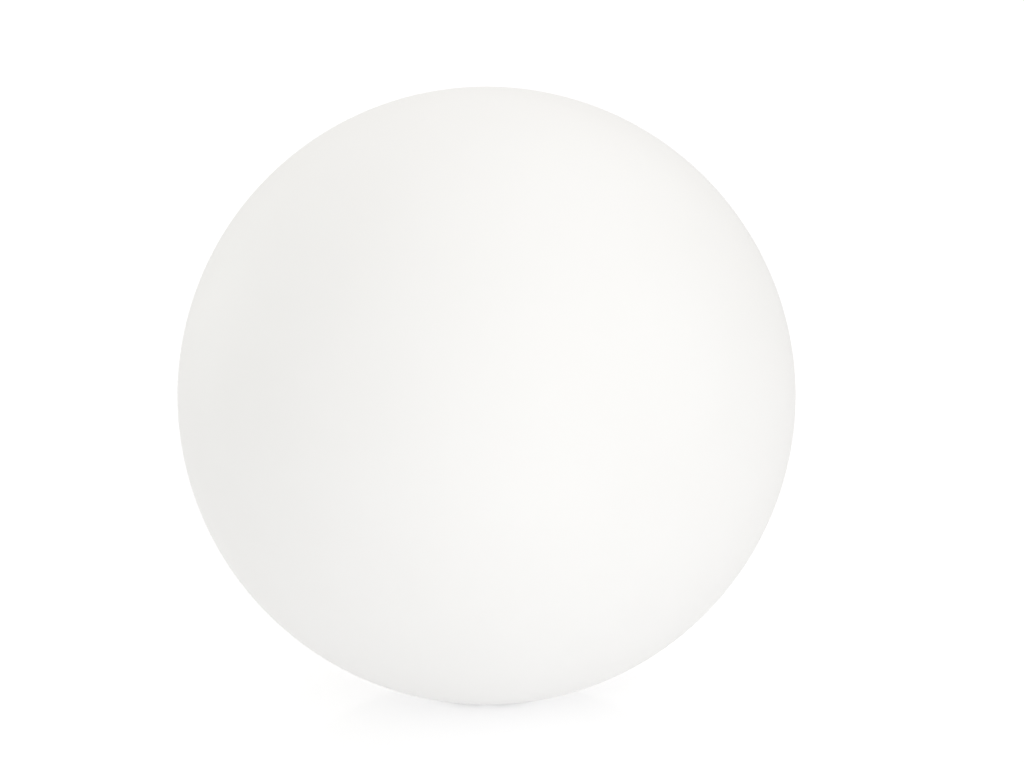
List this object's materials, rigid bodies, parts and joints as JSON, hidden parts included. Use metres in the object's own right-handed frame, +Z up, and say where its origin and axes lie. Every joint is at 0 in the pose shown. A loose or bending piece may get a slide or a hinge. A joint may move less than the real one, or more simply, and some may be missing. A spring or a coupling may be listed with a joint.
{
  "type": "globe light",
  "caption": "Cordless garden globe light: a satin opal-white ball that lifts off a round base with a battery light tower, a push button and a charge port under a hinged door.",
  "frame": {"origin": "on the floor under the globe's axis, at the centre of the ring of feet", "axes": "+Z up along the globe's axis, -Y towards the viewer of the picture, +X to the viewer's right"},
  "size_m": [0.3999, 0.3998, 0.3976],
  "materials": {
    "opal_globe": "satin",
    "base_white": "matte",
    "tower_white": "satin",
    "dome_opal": "satin",
    "foot_rubber": "matte",
    "seal_silicone": "matte",
    "button_grey": "matte",
    "screw_steel": "satin",
    "spring_steel": "polished",
    "black_plastic": "matte",
    "board_green": "gloss",
    "heat_sink_metal": "satin",
    "lamp_board_white": "satin",
    "lamp_chip": "gloss",
    "pipe_clear": "gloss",
    "cell_sleeve": "gloss",
    "strap_nickel": "polished",
    "lead_red": "matte",
    "lead_black": "matte",
    "thermal_grey": "matte",
    "terminal_green": "satin"
  },
  "bodies": {
    "base": {"base_plate": "base_white", "foot_pad_1": "foot_rubber", "foot_pad_2": "foot_rubber", "foot_pad_3": "foot_rubber", "foot_pad_4": "foot_rubber", "seat_gasket": "seal_silicone", "base_screws": "screw_steel", "vent_plug": "black_plastic", "light_pipe": "pipe_clear", "indicator_led": "lamp_chip", "hinge_pin": "screw_steel", "charge_socket": "screw_steel", "socket_tongue": "black_plastic", "switch_body": "black_plastic", "tower_tube": "tower_white", "tower_seal": "seal_silicone", "spring_clip_1": "spring_steel", "spring_clip_2": "spring_steel", "spring_clip_3": "spring_steel", "clip_rivets": "screw_steel", "control_board": "board_green", "board_screws": "screw_steel", "power_coil": "black_plastic", "capacitor": "heat_sink_metal", "charger_chip": "black_plastic", "lead_terminal": "terminal_green", "lower_cell_holder": "black_plastic", "upper_cell_holder": "black_plastic", "battery_cell_1": "cell_sleeve", "battery_cell_2": "cell_sleeve", "battery_cell_3": "cell_sleeve", "lower_battery_strap": "strap_nickel", "upper_battery_strap": "strap_nickel", "battery_lead_red": "lead_red", "battery_lead_black": "lead_black", "left_lamp_lead": "lead_red", "right_lamp_lead": "lead_black", "heat_sink": "heat_sink_metal", "thermal_pad": "thermal_grey", "led_board": "lamp_board_white", "leds": "lamp_chip", "led_screws": "screw_steel", "dome_gasket": "seal_silicone", "dome_lens": "dome_opal", "lens_screws": "screw_steel"},
    "globe": {"globe_shell": "opal_globe"},
    "power_button": {"power_button": "button_grey", "button_seal": "black_plastic", "switch_plunger": "button_grey"},
    "port_door": {"port_door": "base_white", "port_plug": "seal_silicone"}
  },
  "joints": [
    {"name": "globe_lift", "type": "slide", "parent": "base", "child": "globe", "axis": [0, 0, 1], "range_m": [0, 0.15], "deforming": ["spring_clip_1", "spring_clip_2", "spring_clip_3"]},
    {"name": "button_press", "type": "slide", "parent": "base", "child": "power_button", "axis": [0, 0, 1], "range_m": [0, 0.0012], "stiffness_N_per_m": 1500},
    {"name": "port_door_swing", "type": "hinge", "parent": "base", "child": "port_door", "pos_m": [0.0186, 0, 0.0052], "axis": [0, -1, 0], "range_deg": [0, 105]}
  ]
}
